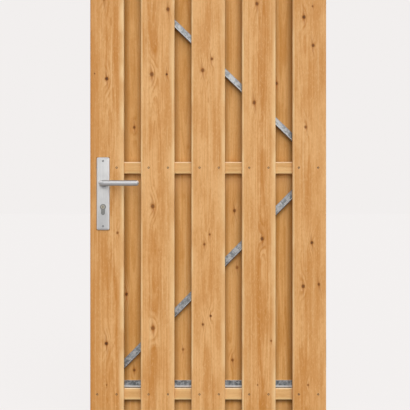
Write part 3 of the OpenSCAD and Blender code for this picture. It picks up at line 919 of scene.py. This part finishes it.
BAR_LEG = 0.025  # width of the frame bars' legs
BRACE_END = 0.036  # length of each brace's cut end
CASE_BEAD = 0.022  # length of the beads at the lock case's head and foot
MITRE_INSET = 0.001  # mitre beads start this far inside the frame's corners


def weld_lines():
    """Where beads run on the leaf's back: mitres, brace ends, lock case and hinge eyes."""
    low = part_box("frame_rail_bottom")[0]
    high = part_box("frame_rail_top")[1]
    back = high.y

    def place(x, z):
        return Vector((x, back, z))

    lines = []
    for x, inward in ((low.x, 1), (high.x, -1)):
        for z, up in ((low.z, 1), (high.z, -1)):
            lines.append((place(x + inward * MITRE_INSET, z + up * MITRE_INSET),
                          place(x + inward * BAR_LEG, z + up * BAR_LEG)))
    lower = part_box("brace_lower")[0]
    upper_low, upper_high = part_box("brace_upper")
    case_low, case_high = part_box("lock_case")
    runs = [(lower.x, lower.z, BRACE_END, 0), (upper_low.x, upper_high.z, BRACE_END, 0),
            (upper_high.x, upper_low.z, 0, BRACE_END), (case_low.x, case_low.z, CASE_BEAD, 0),
            (case_low.x, case_high.z, CASE_BEAD, 0)]
    for name in ("bottom", "top"):
        eye_low, eye_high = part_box("hinge_eye_" + name)
        runs += [(eye_low.x, eye_low.z, BAR_LEG, 0), (eye_low.x, eye_high.z, BAR_LEG, 0),
                 (eye_low.x, eye_low.z, 0, eye_high.z - eye_low.z)]
    for x, z, along, up in runs:
        lines.append((place(x, z), place(x, z) + Vector((along, 0, up))))
    return lines


def add_welds():
    points = []
    edges = []
    for start, end in weld_lines():
        edges.append((len(points), len(points) + 1))
        points += [start, end]
    weld_maker().make("weld_beads", "leaf", "galvanised", METALS["galvanised"], points, edges)


# ---------------------------------------------------------------- studio

PAPER = rgb("F2EFEE")
WHITE = (1.0, 1.0, 1.0, 1.0)
SKY_LIGHT = 0.39  # strength of the world's light on the object
# Lamps: degrees to the right of straight ahead and above the ground, strength, and softness in degrees.
LAMPS = {
    "key_lamp": (16, 44, 1.95, 70),
    "front_lamp": (2, 10, 0.52, 20),
    "rear_lamp": (165, 35, 1.40, 90),
}
FLOOR_DROP = 0.05  # from the boards' foot to the ground
FLOOR_REACH = 60.0
FLOOR_GLOW = 1.004  # brightness of the floor that doesn't depend on the lamps
FLOOR_GLOW_SHARE = 0.92  # and how much of the floor it makes up, so that a soft shadow is left
FLOOR_BOUNCE = (0.28, 0.28, 0.28, 1.0)  # colour of the floor for the light that it sends back


def seen_or_lit(graph, seen, lit):
    """Shows seen to camera, glossy and transmission rays, and lit to the rest."""
    rays = graph.node("ShaderNodeLightPath")
    mask = rays.out("Is Camera Ray").math("MAXIMUM", rays.out("Is Glossy Ray"))
    mask = mask.math("MAXIMUM", rays.out("Is Transmission Ray"))
    return graph.node("ShaderNodeMixShader", None, (mask, lit, seen))


def add_world():
    world = bpy.data.worlds.new("studio")
    bpy.context.scene.world = world
    graph = Graph(emptied(world))
    seen = graph.node("ShaderNodeBackground", None, (PAPER, 1.0))
    lit = graph.node("ShaderNodeBackground", None, (WHITE, SKY_LIGHT))
    graph.node("ShaderNodeOutputWorld", None, {"Surface": seen_or_lit(graph, seen, lit)})


def add_floor():
    """A pale floor that keeps a soft shadow and otherwise matches the backdrop."""
    mesh = bpy.data.meshes.new("floor")
    z = LEAF.z - FLOOR_DROP
    corners = [(x * FLOOR_REACH, y * FLOOR_REACH, z) for x, y in ((-1, -1), (1, -1), (1, 1), (-1, 1))]
    mesh.from_pydata(corners, [], [(0, 1, 2, 3)])
    floor = new_object("floor", mesh)
    material = bpy.data.materials.new("floor_paper")
    graph = Graph(emptied(material))
    shaded = graph.node("ShaderNodeBsdfDiffuse", None, {"Color": PAPER})
    light = graph.node("ShaderNodeEmission", None, {"Color": PAPER, "Strength": FLOOR_GLOW})
    seen = graph.node("ShaderNodeMixShader", None, (FLOOR_GLOW_SHARE, shaded, light))
    dull = graph.node("ShaderNodeBsdfDiffuse", None, {"Color": FLOOR_BOUNCE})
    graph.node("ShaderNodeOutputMaterial", None, {"Surface": seen_or_lit(graph, seen, dull)})
    mesh.materials.append(material)


def add_studio():
    bpy.context.scene.view_settings.view_transform = "Standard"
    add_world()
    for name, (side, height, strength, softness) in LAMPS.items():
        data = bpy.data.lights.new(name, "SUN")
        data.energy = strength
        data.angle = math.radians(softness)
        lamp = new_object(name, data)
        lamp.rotation_euler = (math.radians(90 - height), 0, math.radians(side))
    add_floor()


add_camera()
add_studio()
dress_nodes()
add_screws()
add_coach_screws()
add_welds()
